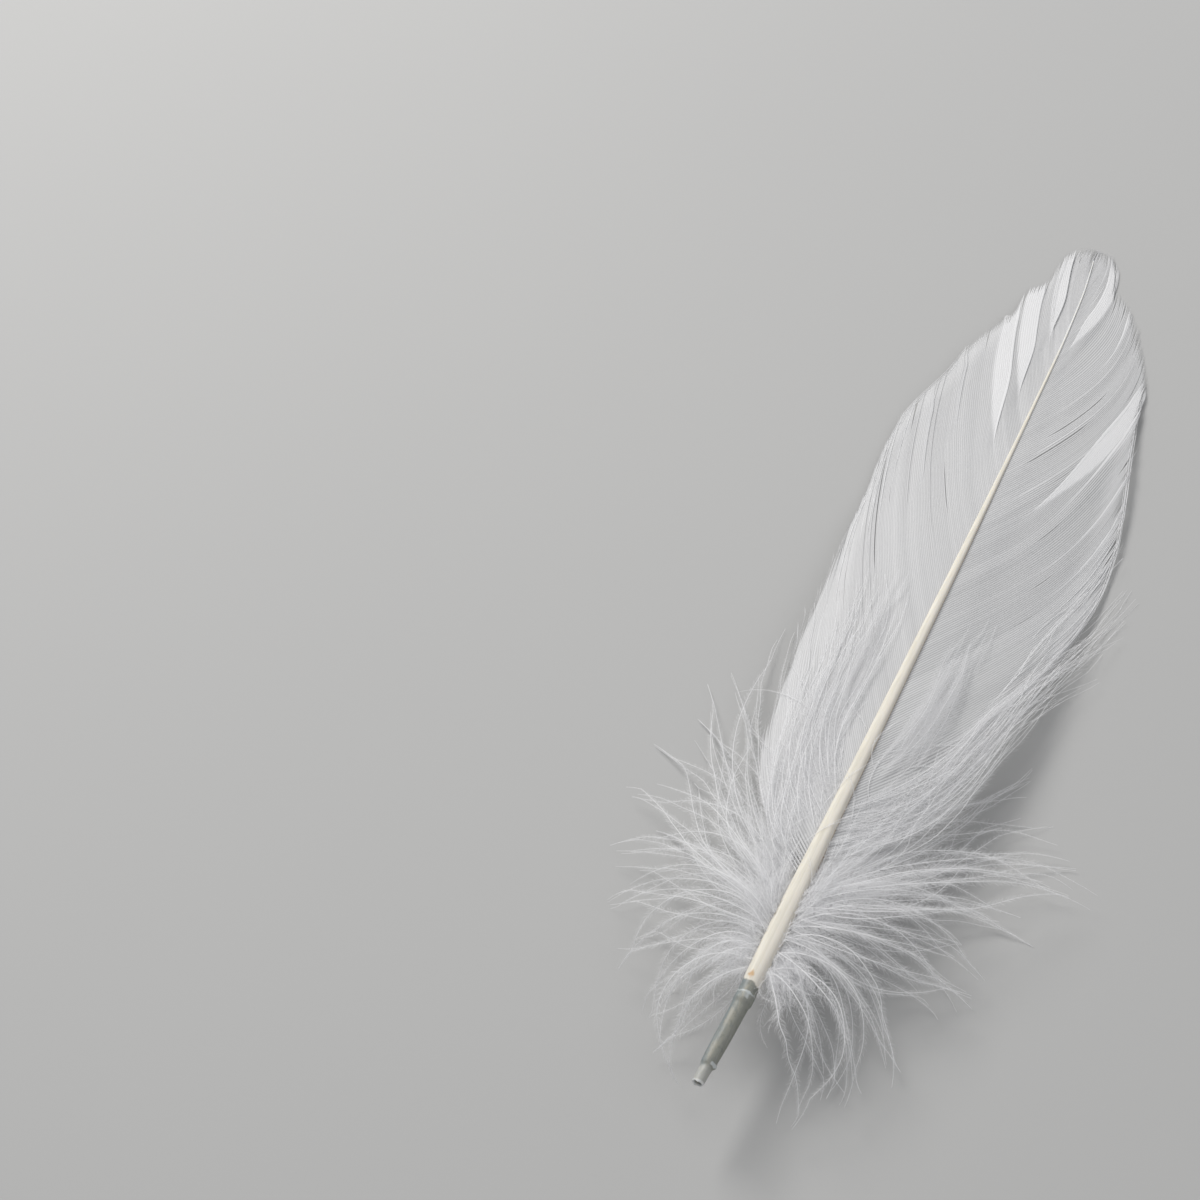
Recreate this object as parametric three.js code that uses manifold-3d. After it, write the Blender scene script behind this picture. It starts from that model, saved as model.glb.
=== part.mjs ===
// A goose quill feather lying on a table with its smooth upper side up.
// Millimetres, +Z up. Y runs along the feather from the cut quill to the tip of the vane,
// X runs across it, and the feather rests on its down and on the end of its vane.
// It is drawn with the cut end of the quill at Y = 0 and moved to the middle of its box at the end.
import * as THREE from "three";
import { mergeVertices } from "three/addons/utils/BufferGeometryUtils.js";
import Module from "manifold-3d";

const wasm = await Module();
wasm.setup();

// ---------------------------------------------------------------- driving dimensions
const LENGTH = 178;              // cut quill to the tip of the vane
const GAP = [[0, 0.3], [120, 0.25], [LENGTH, 0.08]];  // between the shaft and what grows from its sides
const SIDES = { left: -1, right: 1 };

const QUILL = { bore: 0.62, boreDepth: 9 };
const SHAFT_END = 175.5;         // the shaft fades out just short of the tip
// [place along the feather, width of the shaft]: trimmed end, barrel, ragged collar, rachis
const SHAFT_WIDTH = [[0, 1.8], [2.8, 1.95], [3.6, 2.35], [9, 2.6], [14, 2.65], [14.7, 2.9],
  [15.9, 2.9], [16.6, 2.8], [20, 3.0], [30, 3.1], [38, 2.85], [50, 2.4], [66, 2.05], [80, 1.75],
  [100, 1.35], [116, 0.95], [135, 0.55], [155, 0.34], [SHAFT_END, 0.2]];
// how far the shaft stands off the middle line, and how high its middle is over the table
const SHAFT_BOW = [[0, 0], [21, 1.1], [60, 1.6], [110, 1.9], [150, 1.7], [166, 1.2], [LENGTH, 0]];
const SHAFT_HEIGHT = [[0, 10.2], [20, 9.9], [45, 9.1], [80, 7.2], [110, 5], [140, 2.5],
  [160, 0.95], [169, 0.42], [LENGTH, 0.2]];
const SQUARENESS = { quill: 2, rachis: 2.6 };   // exponent of the shaft's section
const RACHIS_START = 18;
const GROOVE = { depth: 0.22, halfWidth: 0.3 }; // along the underside, as shares of the half depth

const VANE = { start: { left: 38, right: 41.5 }, end: 175, thickness: 0.35, barbLines: 37, steps: 8 };
// [place along the feather, reach of the vane's edge from the middle line]
const VANE_EDGE = {
  left: [[40, 16], [72, 17.2], [95, 17.6], [112, 18], [124, 18.7], [131, 18.4], [136, 17],
    [142, 14.8], [148, 13.5], [153, 11.4], [156.5, 9.9], [159, 8.5], [165.5, 7.8], [168, 5.6],
    [172, 5.0], [175, 4.3], [177.2, 2.8], [LENGTH, 1.4]],
  right: [[40, 18.5], [72, 20.4], [87, 21.4], [96, 23.4], [109, 24.7], [117, 24.3], [126, 22.6], [135, 20.6],
    [145, 18.6], [153.5, 16.8], [161.5, 13.2], [168, 9], [170.7, 5.8], [176, 3.9], [LENGTH, 2.6]],
};
// angle of a barb to the shaft in degrees, where it leaves the shaft and at its free end
const BARB_ANGLE = {
  left: {
    root: [[38, 35], [55, 30], [130, 26], [160, 19], [LENGTH, 9]],
    tip: [[38, 12], [60, 8], [150, 4], [170, -2], [LENGTH, -14]],
  },
  right: {
    root: [[40, 41], [60, 36], [130, 32], [160, 21], [LENGTH, 10]],
    tip: [[40, 14], [60, 9], [150, 6], [170, -2], [LENGTH, -14]],
  },
};
const BARB_BEND = 1.35;          // above 1 the bend gathers towards the free end
const DROOP = { left: 3.0, right: 3.6, reach: 20, power: 1.5 };
const WAVE = { height: 0.45, length: 62 };

// slivers where one lock of barbs has slipped over the next and the vane is double
const SLIVERS = {
  left: [{ root: 124, from: 0.22, to: 1, width: 2.8 }, { root: 137, from: 0.22, to: 0.98, width: 2.9 },
    { root: 150, from: 0.2, to: 0.96, width: 2 }],
  right: [{ root: 107, from: 0.27, to: 1, width: 2.7 }, { root: 100, from: 0.42, to: 0.96, width: 1.1 },
    { root: 154, from: 0.15, to: 0.98, width: 2 }],
};
const SLIVER_THICKNESS = 0.4;

// barbs whose ends have come loose along the lower edge of a vane: where they leave the shaft,
// and how far and at what angle to the shaft they run on past the edge
const STRAYS = {
  left: [{ root: 38.6, run: 8, angle: 46 }, { root: 40, run: 10, angle: 34 },
    { root: 43, run: 6, angle: 36 }, { root: 46, run: 8, angle: 24 }, { root: 52, run: 5, angle: 18 }],
  right: [{ root: 42.2, run: 10, angle: 56 }, { root: 43.4, run: 13, angle: 42 },
    { root: 45.4, run: 12, angle: 34 }, { root: 48, run: 15, angle: 27 },
    { root: 51.5, run: 15, angle: 20 }, { root: 56, run: 11, angle: 15 }, { root: 63, run: 7, angle: 12 }],
};
const STRAY = { radius: 0.75, tip: 0.1, flatness: 0.5 };

// the down: locks leave the foot of the shaft and end along a ragged border of [along, across] places
const DOWN = { start: 20, end: { left: 37, right: 40.5 }, padDepth: 0.7, padHeight: 1.3 };
const DOWN_REACH = {
  left: [[2, 4.5], [8, 9], [11, 15], [17, 21], [23, 25.5], [31, 29], [40, 30], [49, 29], [58, 27],
    [68, 25], [77, 22], [84, 20.5]],
  right: [[0.8, 12], [6, 18], [12, 23.5], [19, 28], [28, 32], [37, 31], [46, 30.5], [55, 40.65],
    [63, 34], [66, 29.5], [71, 25], [76, 22.5]],
};
const LOCKS = { left: 25, right: 29, ragged: [1, 0.84, 0.94] };
// angle to the shaft at which a lock leaves it, by its share of the way from the lowest to the highest,
// and how far its end has turned past the straight way there, as a share of how its start fell short
const LOCK_ANGLE = [[0, 98], [0.15, 86], [0.4, 68], [0.7, 57], [1, 42]];
const LOCK_ARC = [1.3, 0.2, 0.9];
const LOCK = { radius: 1.5, flatness: 0.45, root: 0.45, tip: 0.1, steps: 4 };
// locks lie in tiers, and those nearest the vane only in the low ones, where they pass under it
const LOCK_TIERS = [{ lift: 0.3, arch: 5, end: 3 }, { lift: -0.1, arch: 0.4, end: 1.2 },
  { lift: -0.35, arch: -2.4, end: 0 }, { lift: -0.35, arch: -3.4, end: 0.4 }];
const LOW_TIERS_FROM = 0.74;     // share of the way from the quill end of the down to the vane

// ---------------------------------------------------------------- small helpers
const rad = THREE.MathUtils.degToRad;
const lerp = THREE.MathUtils.lerp;

// value of a list of [place, value] pairs at s, on a smooth curve that never overshoots
function along(pairs, s) {
  const last = pairs.length - 1;
  if (s <= pairs[0][0]) return pairs[0][1];
  if (s >= pairs[last][0]) return pairs[last][1];
  const i = pairs.findIndex(([place]) => place > s);
  const slope = (k) => (pairs[k][1] - pairs[k - 1][1]) / (pairs[k][0] - pairs[k - 1][0]);
  const tangent = (k) => {
    if (k === 0) return slope(1);
    if (k === last) return slope(last);
    return slope(k) * slope(k + 1) <= 0 ? 0 : 2 / (1 / slope(k) + 1 / slope(k + 1));
  };
  const [x0, y0] = pairs[i - 1];
  const [x1, y1] = pairs[i];
  const h = x1 - x0;
  const t = (s - x0) / h;
  return y0 * (1 + 2 * t) * (1 - t) ** 2 + y1 * t * t * (3 - 2 * t)
    + h * t * (1 - t) * (tangent(i - 1) * (1 - t) - tangent(i) * t);
}

const shaftHalf = (s) => along(SHAFT_WIDTH, s) / 2;
const shaftMiddle = (s) => along(SHAFT_BOW, s);
const shaftHeight = (s) => along(SHAFT_HEIGHT, s);
// the place on a side of the shaft where barbs leave it
const sideOfShaft = (side, s) => shaftMiddle(s) + SIDES[side] * (shaftHalf(s) + along(GAP, s));

// a closed geometry as a manifold-3d solid: shared corners merged, slivers at poles dropped
function solidOf(geometry) {
  geometry.deleteAttribute("normal");
  geometry.deleteAttribute("uv");
  const merged = mergeVertices(geometry, 1e-4);
  const index = Array.from(merged.index.array);
  const triVerts = [];
  for (let i = 0; i < index.length; i += 3) {
    const [a, b, c] = index.slice(i, i + 3);
    if (a !== b && b !== c && c !== a) triVerts.push(a, b, c);
  }
  const vertProperties = new Float32Array(merged.attributes.position.array);
  const mesh = new wasm.Mesh({ numProp: 3, vertProperties, triVerts: new Uint32Array(triVerts) });
  return new wasm.Manifold(mesh);
}

function geometryOf(solid) {
  const { vertProperties, triVerts } = solid.getMesh();
  const geometry = new THREE.BufferGeometry();
  geometry.setAttribute("position", new THREE.BufferAttribute(vertProperties, 3));
  geometry.setIndex(new THREE.BufferAttribute(triVerts, 1));
  return geometry;
}

// moves each corner of a geometry to place(x, y, z); flip turns the faces of a mirrored shape back
function reshape(geometry, place, flip = false) {
  const p = geometry.attributes.position;
  for (let i = 0; i < p.count; i += 1) {
    p.setXYZ(i, ...place(p.getX(i), p.getY(i), p.getZ(i)));
  }
  const index = geometry.index.array;
  for (let i = 0; flip && i < index.length; i += 3) {
    [index[i + 1], index[i + 2]] = [index[i + 2], index[i + 1]];
  }
  return geometry;
}

// a unit box cut into cells, from 0 to 1 each way
function cells(nx, ny, nz) {
  return new THREE.BoxGeometry(1, 1, 1, nx, ny, nz).translate(0.5, 0.5, 0.5);
}

const fuse = (solids) => solids.reduce((whole, next) => whole.add(next));

// ---------------------------------------------------------------- the shaft
// A turned profile, from the bottom of the quill's bore round its cut end and up to the tip.
// Its section goes from round at the quill to square-shouldered at the rachis.
function shaft() {
  const stations = [...new Set([...SHAFT_WIDTH.map(([s]) => s), 6, 12, 26, 34, 44, 58, 73, 90, 108, 126, 145,
    165])].sort((a, b) => a - b);
  const profile = [
    new THREE.Vector2(0, QUILL.boreDepth),
    new THREE.Vector2(QUILL.bore, QUILL.boreDepth),
    new THREE.Vector2(QUILL.bore, 0),
    ...stations.map((s) => new THREE.Vector2(shaftHalf(s), s)),
    new THREE.Vector2(0, SHAFT_END),
  ];
  const turned = new THREE.LatheGeometry(profile, 16);
  return solidOf(reshape(turned, (x, s, z) => {
    const radius = Math.hypot(x, z);
    const t = THREE.MathUtils.smoothstep(s, RACHIS_START - 4, RACHIS_START + 8);
    const n = lerp(SQUARENESS.quill, SQUARENESS.rachis, t);
    const [c, k] = radius > 0 ? [x / radius, z / radius] : [1, 0];
    const square = radius / (Math.abs(c) ** n + Math.abs(k) ** n) ** (1 / n);
    const groove = k < 0 ? 1 - t * GROOVE.depth * Math.exp(-((c / GROOVE.halfWidth) ** 2)) : 1;
    return [shaftMiddle(s) + c * square, s, shaftHeight(s) + k * square * groove];
  }));
}

// ---------------------------------------------------------------- the vanes
// top of the vane at a place: from the shaft's shoulder down to the edge, never under the table
function vaneTop(side, x, s) {
  const out = Math.abs(x - shaftMiddle(s));
  const shoulder = shaftHeight(s) + 0.3 * shaftHalf(s);
  const droop = DROOP[side] * (out / DROOP.reach) ** DROOP.power * Math.min(1, shoulder / 5);
  const wave = WAVE.height * (out / DROOP.reach) * Math.sin((2 * Math.PI * s) / WAVE.length + SIDES[side]);
  return Math.max(shoulder - droop + wave, VANE.thickness);
}

// points along the barb that leaves the shaft at s, until it reaches the vane's edge
function barb(side, s, points) {
  const step = 0.4;
  const walk = (length) => {
    const a0 = rad(along(BARB_ANGLE[side].root, s));
    const a1 = rad(along(BARB_ANGLE[side].tip, s));
    let [x, y] = [sideOfShaft(side, s), s];
    const line = [[x, y]];
    for (let d = 0; d < length; d += step) {
      const a = lerp(a0, a1, (d / length) ** BARB_BEND);
      x += SIDES[side] * Math.sin(a) * step;
      y += Math.cos(a) * step;
      line.push([x, y]);
    }
    return line;
  };
  let [short, long] = [0.5, 90];
  for (let k = 0; k < 24; k += 1) {
    const length = (short + long) / 2;
    const [x, y] = walk(length).at(-1);
    if (y > LENGTH || SIDES[side] * x > along(VANE_EDGE[side], y)) long = length;
    else short = length;
  }
  const line = walk(short);
  return Array.from({ length: points + 1 }, (_, i) => {
    const f = (i / points) * (line.length - 1);
    const k = Math.min(Math.floor(f), line.length - 2);
    return [lerp(line[k][0], line[k + 1][0], f - k), lerp(line[k][1], line[k + 1][1], f - k)];
  });
}

// the sheet of hooked barbs: a thin slab whose lines across are barbs
function vaneSheet(side) {
  const lines = Array.from({ length: VANE.barbLines + 1 }, (_, i) => (
    barb(side, lerp(VANE.start[side], VANE.end, i / VANE.barbLines), VANE.steps)));
  return solidOf(reshape(cells(VANE.steps, VANE.barbLines, 1), (u, v, w) => {
    const [x, y] = lines[Math.round(v * VANE.barbLines)][Math.round(u * VANE.steps)];
    const top = vaneTop(side, x, y);
    return [x, y, w > 0.5 ? top : top - VANE.thickness];
  }, side === "left"));
}

// a narrow blade along one barb, lying on the sheet
function sliver(side, { root, from, to, width }) {
  const line = barb(side, root, 24);
  return solidOf(reshape(cells(2, 12, 1), (u, v, w) => {
    const f = lerp(from, to, v) * 24;
    const k = Math.min(Math.floor(f), 23);
    const [x, y] = [lerp(line[k][0], line[k + 1][0], f - k), lerp(line[k][1], line[k + 1][1], f - k)];
    const blade = width * Math.sin(Math.PI * (0.04 + 0.82 * v)) ** 0.8;
    const across = x + SIDES[side] * blade * (0.5 - u);
    const top = vaneTop(side, across, y) + (w > 0.5 ? SLIVER_THICKNESS : -VANE.thickness / 2);
    return [across, y, top];
  }, side === "right"));
}

// a tapered, flattened tuft along a curve, closed at both ends; swell gives its width from root to tip
function tuft(curve, steps, flatness, swell) {
  const rod = new THREE.CylinderGeometry(1, 1, 1, 4, steps).translate(0, 0.5, 0);
  return solidOf(reshape(rod, (x, t, z) => {
    const k = Math.round(t * steps) / steps;
    const p = curve.getPointAt(k);
    const ahead = curve.getTangentAt(k);
    const across = new THREE.Vector3(ahead.y, -ahead.x, 0).normalize();
    p.addScaledVector(across, x * swell(k));
    return [p.x, p.y, Math.max(p.z + z * swell(k) * flatness, 0)];
  }));
}

function stray(side, { root, run, angle }) {
  const sign = SIDES[side];
  const [foot, edge] = barb(side, root, 12).slice(-2);
  const height = vaneTop(side, ...foot) - VANE.thickness / 2;
  const end = [edge[0] + sign * run * Math.sin(rad(angle)), edge[1] + run * Math.cos(rad(angle))];
  const curve = new THREE.QuadraticBezierCurve3(
    new THREE.Vector3(...foot, height),
    new THREE.Vector3(...edge, height * 0.8),
    new THREE.Vector3(...end, Math.max(height * 0.4, STRAY.radius)),
  );
  return tuft(curve, 4, STRAY.flatness, (k) => lerp(STRAY.radius, STRAY.tip, k));
}

function vane(side) {
  return fuse([
    vaneSheet(side),
    ...SLIVERS[side].map((one) => sliver(side, one)),
    ...STRAYS[side].map((one) => stray(side, one)),
  ]);
}

// ---------------------------------------------------------------- the down
// the strip of the shaft's side that the down grows from
function downPad(side) {
  return solidOf(reshape(cells(1, 8, 1), (u, v, w) => {
    const s = lerp(DOWN.start, DOWN.end[side], v);
    const x = sideOfShaft(side, s) + SIDES[side] * u * DOWN.padDepth;
    return [x, s, shaftHeight(s) + (w - 0.5) * DOWN.padHeight];
  }, side === "left"));
}

// one lock, from the pad out to the ragged border of the down
function lock(side, i) {
  const sign = SIDES[side];
  const f = i / (LOCKS[side] - 1);
  const tier = f < LOW_TIERS_FROM ? LOCK_TIERS[i % 3] : LOCK_TIERS[2 + (i % 2)];
  const s = lerp(DOWN.start + 0.6, DOWN.end[side] - 0.8, f ** 0.8);
  const border = DOWN_REACH[side];
  const place = f * (border.length - 1);
  const k = Math.min(Math.floor(place), border.length - 2);
  const ragged = LOCKS.ragged[(i * 2) % 3];
  const across = lerp(border[k][1], border[k + 1][1], place - k) * ragged;
  const up = lerp(s, lerp(border[k][0], border[k + 1][0], place - k), ragged);
  const root = new THREE.Vector3(
    sideOfShaft(side, s) + sign * 0.5 * DOWN.padDepth,
    s,
    shaftHeight(s) + tier.lift * DOWN.padHeight,
  );
  const end = new THREE.Vector3(sign * across, up, tier.end + LOCK.tip);
  // a lock leaves the shaft square to it or a little forward, then curves round to its end
  const straight = Math.hypot(end.x - root.x, end.y - root.y);
  const chord = Math.atan2(sign * (end.x - root.x), end.y - root.y);
  const angle = rad(along(LOCK_ANGLE, f));
  const last = chord + (chord - angle) * LOCK_ARC[i % 3];
  const first = new THREE.Vector3(
    root.x + sign * Math.sin(angle) * straight * 0.42,
    root.y + Math.cos(angle) * straight * 0.42,
    root.z + tier.arch,
  );
  const second = new THREE.Vector3(
    end.x - sign * Math.sin(last) * straight * 0.3,
    end.y - Math.cos(last) * straight * 0.3,
    lerp(root.z, end.z, 0.75) + tier.arch * 0.6,
  );
  const swell = (t) => LOCK.radius * (LOCK.root * (1 - t) ** 2 + 3 * t * (1 - t) ** 1.4) + LOCK.tip;
  return tuft(new THREE.CubicBezierCurve3(root, first, second, end), LOCK.steps, LOCK.flatness, swell);
}

function down(side) {
  return fuse([downPad(side), ...Array.from({ length: LOCKS[side] }, (_, i) => lock(side, i))]);
}

// ---------------------------------------------------------------- the feather
const cream = new THREE.MeshStandardMaterial({ color: 0xe4dcc6, roughness: 0.45, metalness: 0 });
const white = new THREE.MeshStandardMaterial({ color: 0xeeeef0, roughness: 0.8, metalness: 0 });
const softWhite = new THREE.MeshStandardMaterial({ color: 0xe6e4ea, roughness: 0.95, metalness: 0 });

function named(name, solid, material) {
  const mesh = new THREE.Mesh(geometryOf(solid), material.clone());
  mesh.name = name;
  return mesh;
}

const drawn = new THREE.Group();
drawn.add(
  named("shaft", shaft(), cream),
  named("left_vane", vane("left"), white),
  named("right_vane", vane("right"), white),
  named("left_down", down("left"), softWhite),
  named("right_down", down("right"), softWhite),
);

// the origin is on the table under the middle of the feather's box
const box = new THREE.Box3().setFromObject(drawn);
drawn.position.set(-(box.min.x + box.max.x) / 2, -(box.min.y + box.max.y) / 2, -box.min.z);

const feather = new THREE.Group();
feather.add(drawn);

export default feather;
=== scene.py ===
"""Looks of a goose quill feather: hooked vane barbs, loose plume barbs, down and a horn shaft.

Places are drawn in millimetres with the cut end of the quill at y = 0, x across the feather and z up
from the table, as the solids of the frame are, and moved into the frame's metres at the end.
"""
import math

import bmesh
import bpy
import numpy as np
from mathutils import Matrix, Vector


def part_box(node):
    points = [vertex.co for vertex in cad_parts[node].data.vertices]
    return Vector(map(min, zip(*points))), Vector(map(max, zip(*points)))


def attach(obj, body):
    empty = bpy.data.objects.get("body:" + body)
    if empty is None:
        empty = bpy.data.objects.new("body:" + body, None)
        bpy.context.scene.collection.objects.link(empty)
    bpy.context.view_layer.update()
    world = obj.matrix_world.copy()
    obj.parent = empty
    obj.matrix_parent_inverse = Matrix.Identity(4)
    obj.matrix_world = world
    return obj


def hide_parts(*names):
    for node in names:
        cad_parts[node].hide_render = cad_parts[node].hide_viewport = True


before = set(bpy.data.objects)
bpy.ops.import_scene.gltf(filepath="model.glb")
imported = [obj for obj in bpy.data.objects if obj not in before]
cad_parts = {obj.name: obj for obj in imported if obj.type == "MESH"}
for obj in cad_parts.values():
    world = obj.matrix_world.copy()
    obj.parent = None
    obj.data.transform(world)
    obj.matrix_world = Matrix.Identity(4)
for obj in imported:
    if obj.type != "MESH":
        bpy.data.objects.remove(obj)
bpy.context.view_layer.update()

MM = 0.001
UP = (0, 0, 1)
SIDES = {"left": -1, "right": 1}

# ---- sizes that the solids share
LENGTH = 178
SHAFT_END = 175.5
SHAFT_WIDTH = [[0, 1.8], [2.8, 1.95], [3.6, 2.35], [9, 2.6], [14, 2.65], [14.7, 2.9], [15.9, 2.9],
               [16.6, 2.8], [20, 3.0], [30, 3.1], [38, 2.85], [50, 2.4], [66, 2.05], [80, 1.75],
               [100, 1.35], [116, 0.95], [135, 0.55], [155, 0.34], [SHAFT_END, 0.2]]
SHAFT_BOW = [[0, 0], [21, 1.1], [60, 1.6], [110, 1.9], [150, 1.7], [166, 1.2], [LENGTH, 0]]
SHAFT_HEIGHT = [[0, 10.2], [20, 9.9], [45, 9.1], [80, 7.2], [110, 5], [140, 2.5], [160, 0.95],
                [169, 0.42], [LENGTH, 0.2]]
QUILL = {"radius": 1.25, "bore": 0.62, "depth": 9}
RACHIS_START = 18
SQUARENESS = {"quill": 2, "rachis": 2.6}
GROOVE = {"depth": 0.22, "half_width": 0.3}

VANE_START = {"left": 38, "right": 41.5}
VANE_END = 175
VANE_THICKNESS = 0.35
VANE_EDGE = {
    "left": [[40, 16], [72, 17.2], [95, 17.6], [112, 18], [124, 18.7], [131, 18.4], [136, 17], [142, 14.8],
             [148, 13.5], [153, 11.4], [156.5, 9.9], [159, 8.5], [165.5, 7.8], [168, 5.6], [172, 5.0],
             [175, 4.3], [177.2, 2.8], [LENGTH, 1.4]],
    "right": [[40, 18.5], [72, 20.4], [87, 21.4], [96, 23.4], [109, 24.7], [117, 24.3], [126, 22.6],
              [135, 20.6], [145, 18.6], [153.5, 16.8], [161.5, 13.2], [168, 9], [170.7, 5.8], [176, 3.9],
              [LENGTH, 2.6]],
}
DROOP = {"left": 3.0, "right": 3.6, "reach": 20, "power": 1.5}
WAVE = {"height": 0.45, "length": 62}

DOWN_START = 20
DOWN_END = {"left": 37, "right": 40.5}
DOWN_REACH = {
    "left": [[2, 4.5], [8, 9], [11, 15], [17, 21], [23, 25.5], [31, 29], [40, 30], [49, 29], [58, 27],
             [68, 25], [77, 22], [84, 20.5]],
    "right": [[0.8, 12], [6, 18], [12, 23.5], [19, 28], [28, 32], [37, 31], [46, 30.5], [55, 40.65],
              [63, 34], [66, 29.5], [71, 25], [76, 22.5]],
}
LOCKS = {"left": 25, "right": 29, "ragged": [1, 0.84, 0.94]}
LOCK_ANGLE = [[0, 98], [0.15, 86], [0.4, 68], [0.7, 57], [1, 42]]
LOCK_ARC = [1.3, 0.2, 0.9]
LOCK_TIERS = [{"lift": 0.4, "arch": 5, "end": 3}, {"lift": -0.1, "arch": 0.4, "end": 1.2},
              {"lift": -0.45, "arch": -2.4, "end": 0.1}, {"lift": -0.45, "arch": -3.4, "end": 0.5}]
LOW_TIERS_FROM = 0.74
TUFTS = {"left": 6, "right": 8, "pull": 0.11}  # neighbouring locks lean together in tufts

# ---- sizes of the fine pieces
SEEDS = {"lumps": 3, "vane": {"left": 11, "right": 12}, "down": {"left": 21, "right": 22},
         "plume": {"left": 31, "right": 32}}
SHAFT_SIDES = 40
# dried skin on the barrel: small lumps all over it, and flaps: their place, way round, width and height
LUMPS = {"count": 46, "place": (0.3, 19), "width": (0.3, 1.1), "height": 0.008}
FLAPS = [(3.3, 0.15, 0.35, 0.34), (3.5, 2.6, 0.5, 0.12), (2.2, 4.9, 0.5, 0.08)]
# the dry sheath ends in a torn ring, which stands up from low to high
SHEATH = {"low": (14.3, 14.9), "high": (15.95, 16.15)}
BARB_SPACING = 0.64
BARB_STEPS = 34
BARB_RIDGE = 0.045  # how far the middle of a barb stands over its hooked edges
BARB_DEPTH = 0.12  # and how far those lie under the top of the vane's solid
# angles to the shaft at which the barbs set off and end, by the place of the root, and how late they
# bend from the one to the other
ROOT_ANGLE = {"left": [[38, 35], [55, 30], [130, 26], [160, 19], [LENGTH, 9]],
              "right": [[40, 41], [60, 36], [130, 32], [152, 22], [160, 18], [LENGTH, 10]]}
TIP_ANGLE = {"left": [[38, 12], [60, 8], [115, 5], [150, -1], [170, -7], [LENGTH, -14]],
             "right": [[40, 14], [60, 7], [90, 0], [107, -7], [130, -11], [146, -18], [152, -24], [162, -20],
                       [LENGTH, -14]]}
BARB_BEND = {"left": 1.35, "right": 1.75}
# how long the unhooked ends of the barbs are, by the place of the root
FRINGE = {"left": [[38, 1.4], [120, 2.0], [150, 2.6], [175, 2.6]],
          "right": [[42, 3.5], [58, 6.5], [84, 6.5], [100, 3.4], [125, 3.0], [150, 3.0], [175, 2.8]]}
# places where a vane has parted: the root of the barb in front, how far the barbs behind it have slipped
# over it (or back from it, below 0), where along the barb that begins and how many millimetres of roots
# share it; then where it has closed again, or where it is whole and what share is left at the edge
PARTINGS = {
    "right": [
        (107, 3.1, 0.2, 16, 0.7, 0.5), (100, 0.8, 0.42, 4), (123.4, -0.2, 0.1, 3, 0.5),
        (127.5, -0.16, 0.2, 3, 0.62), (88, 0.7, 0.4, 6), (79, 0.8, 0.5, 7), (136.5, 0.7, 0.5, 5),
        (112.5, -0.1, 0.3, 2, 0.45), (97, -0.11, 0.34, 2, 0.52), (84.5, -0.1, 0.4, 2, 0.56),
        (151.5, 2.1, 0.08, 12, 0.46, 0.85), (163, 0.35, 0.3, 3), (147.4, -0.3, 0.8, 2),
        (144.2, -0.34, 0.76, 2), (140.4, -0.3, 0.82, 2.4), (131.2, -0.34, 0.84, 3),
        (127.9, -0.3, 0.86, 2.4), (93.5, -0.4, 0.84, 4), (72.5, -0.4, 0.8, 4),
    ],
    "left": [
        (122.5, 3.1, 0.14, 16, 0.62, 0.75), (134.5, 3, 0.16, 11.5, 0.6, 0.8),
        (149, 2.2, 0.2, 11, 0.62, 0.65), (74, -0.15, 0.42, 5, 0.9), (92, 0.62, 0.5, 6, 0.94),
        (106, 0.62, 0.55, 6, 0.96), (169.2, -0.45, 0.55, 1.5), (141.6, -0.3, 0.8, 2.4),
        (128.3, -0.34, 0.84, 3), (113.1, -0.34, 0.86, 3), (84.2, -0.4, 0.84, 4),
    ],
}
SLIP_LIFT = 0.2
DOUBLE_FROM = 0.65  # slips longer than this show two layers
# how much painted shade greys a vane between its barbs, and how much thinner it is there
RIBS = {"left": {"painted_shade": 0.3, "thin": 0.1}, "right": {"painted_shade": 0.7, "thin": 0.19}}
# share of each barb, from its root, that stays hooked to its neighbours in the loose foot of a vane
HOOKED = {"left": [[38, 0.42], [44, 0.62], [52, 0.86], [58, 1]],
          "right": [[41.5, 0.08], [47, 0.12], [51, 0.2], [56, 0.34], [60, 0.6], [75, 0.62], [95, 0.7],
                    [115, 1]]}
# above these roots the unhooked barbs still lie side by side
PARALLEL = {"left": [44, 54], "right": [46, 55]}
# lowest barbs whose feet are not hooked, only their outer part
BARE_FEET = {"left": {"until": 44, "share": 0.14}, "right": {"until": 45, "share": 0.1}}
# the loose barbs of a vane's foot set off at one angle to the shaft, swing nearly alongside it and turn
# out again towards their tips: their length and those three angles, by the place of the root
PLUME = {
    "left": {"length": [[36, 30], [40, 42], [46, 48], [52, 46], [58, 40]], "first": [[36, 50], [52, 36]],
             "low": [[36, 8], [52, 4]], "last": [[36, 24], [52, 14]]},
    "right": {"length": [[36, 28], [38, 36], [41, 55], [43.5, 59], [47, 61], [51, 65], [58, 62]],
              "first": [[38, 54], [44, 50], [51, 44], [58, 38]], "low": [[38, 8], [51, 13]],
              "last": [[38, 12], [41, 29], [51, 23]]},
}
LOOSE_FOOT = {"left": [46, 58], "right": [48, 62]}  # the vanes' own barbs do so below these roots
# the first and the last root, and how many: of the plume's locks, of those of a finer veil over the vane
# above them, and of the strands that have come off the vane's edge
PLUMES = {"left": (36.5, 54, 14), "right": (37.5, 51, 17)}
VEILS = {"left": (50, 60, 3), "right": (51, 59, 5)}
STRANDS = {"left": (40, 54, 7), "right": (40.5, 53.5, 19)}
VEIL = {"first": 34, "low": 4, "last": 1, "length": (30, 42), "lift": 0.22}
# barbs that lie along the vane's edge, by the place of their root, and lone hairs on the vane
RIM = {"left": (52, 80), "right": (54, 80), "count": {"left": 8, "right": 22}, "run": (8, 26)}
WISPS = {"count": 16, "from": (36, 66), "run": (7, 18)}
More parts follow.
